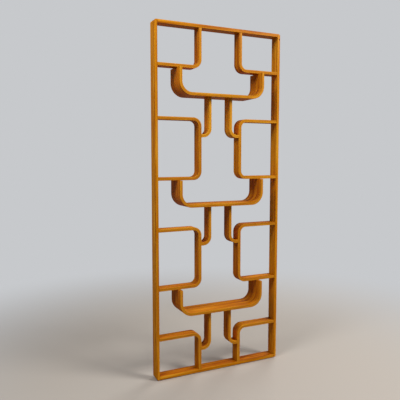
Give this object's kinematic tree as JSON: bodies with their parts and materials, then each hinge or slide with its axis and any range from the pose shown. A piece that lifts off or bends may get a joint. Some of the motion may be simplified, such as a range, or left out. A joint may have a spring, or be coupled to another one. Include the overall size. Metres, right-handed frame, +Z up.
{
  "type": "room divider",
  "caption": "Tall slim wooden room divider: an open frame filled with bent strips in loops and brackets, carrying deep U-shaped trays.",
  "frame": {"origin": "on the floor, under the middle of the frame", "axes": "+Z up, +X to the right seen from the front, +Y from the front to the back"},
  "size_m": [0.96, 0.16, 2.4],
  "materials": {
    "lacquered_frame": "honey-orange clear lacquer, satin gloss",
    "lacquered_strip": "honey-orange clear lacquer over laminated veneers, satin gloss",
    "lacquered_tray": "honey-orange clear lacquer over laminated veneers, satin gloss",
    "bare_beech": "bare, turned, glued in",
    "dark_plastic": "moulded, dark brown"
  },
  "bodies": {
    "root": {"post_left": "lacquered_frame", "post_right": "lacquered_frame", "rail_top": "lacquered_frame", "rail_bottom": "lacquered_frame", "bracket_upper_left": "lacquered_strip", "bracket_lower_left": "lacquered_strip", "bracket_upper_right": "lacquered_strip", "bracket_lower_right": "lacquered_strip", "loop_upper_left": "lacquered_strip", "loop_lower_left": "lacquered_strip", "loop_upper_right": "lacquered_strip", "loop_lower_right": "lacquered_strip", "hanger_upper_left": "lacquered_strip", "hanger_middle_left": "lacquered_strip", "hanger_lower_left": "lacquered_strip", "hanger_upper_right": "lacquered_strip", "hanger_middle_right": "lacquered_strip", "hanger_lower_right": "lacquered_strip", "tray_upper": "lacquered_tray", "tray_middle": "lacquered_tray", "tray_lower": "lacquered_tray", "dowel_bracket_upper_left_post": "bare_beech", "dowel_bracket_upper_left_rail": "bare_beech", "dowel_bracket_lower_left_post": "bare_beech", "dowel_bracket_lower_left_rail": "bare_beech", "dowel_loop_upper_left_top": "bare_beech", "dowel_loop_upper_left_bottom": "bare_beech", "dowel_loop_lower_left_top": "bare_beech", "dowel_loop_lower_left_bottom": "bare_beech", "dowel_tray_upper_left": "bare_beech", "dowel_tray_middle_left": "bare_beech", "dowel_tray_lower_left": "bare_beech", "dowel_hanger_upper_left_top": "bare_beech", "dowel_hanger_upper_left_foot": "bare_beech", "dowel_hanger_middle_left_top": "bare_beech", "dowel_hanger_middle_left_foot": "bare_beech", "dowel_hanger_lower_left_top": "bare_beech", "dowel_hanger_lower_left_foot": "bare_beech", "dowel_bracket_upper_right_post": "bare_beech", "dowel_bracket_upper_right_rail": "bare_beech", "dowel_bracket_lower_right_post": "bare_beech", "dowel_bracket_lower_right_rail": "bare_beech", "dowel_loop_upper_right_top": "bare_beech", "dowel_loop_upper_right_bottom": "bare_beech", "dowel_loop_lower_right_top": "bare_beech", "dowel_loop_lower_right_bottom": "bare_beech", "dowel_tray_upper_right": "bare_beech", "dowel_tray_middle_right": "bare_beech", "dowel_tray_lower_right": "bare_beech", "dowel_hanger_upper_right_top": "bare_beech", "dowel_hanger_upper_right_foot": "bare_beech", "dowel_hanger_middle_right_top": "bare_beech", "dowel_hanger_middle_right_foot": "bare_beech", "dowel_hanger_lower_right_top": "bare_beech", "dowel_hanger_lower_right_foot": "bare_beech", "glide_left_front": "dark_plastic", "glide_left_back": "dark_plastic", "glide_right_front": "dark_plastic", "glide_right_back": "dark_plastic"}
  },
  "joints": []
}
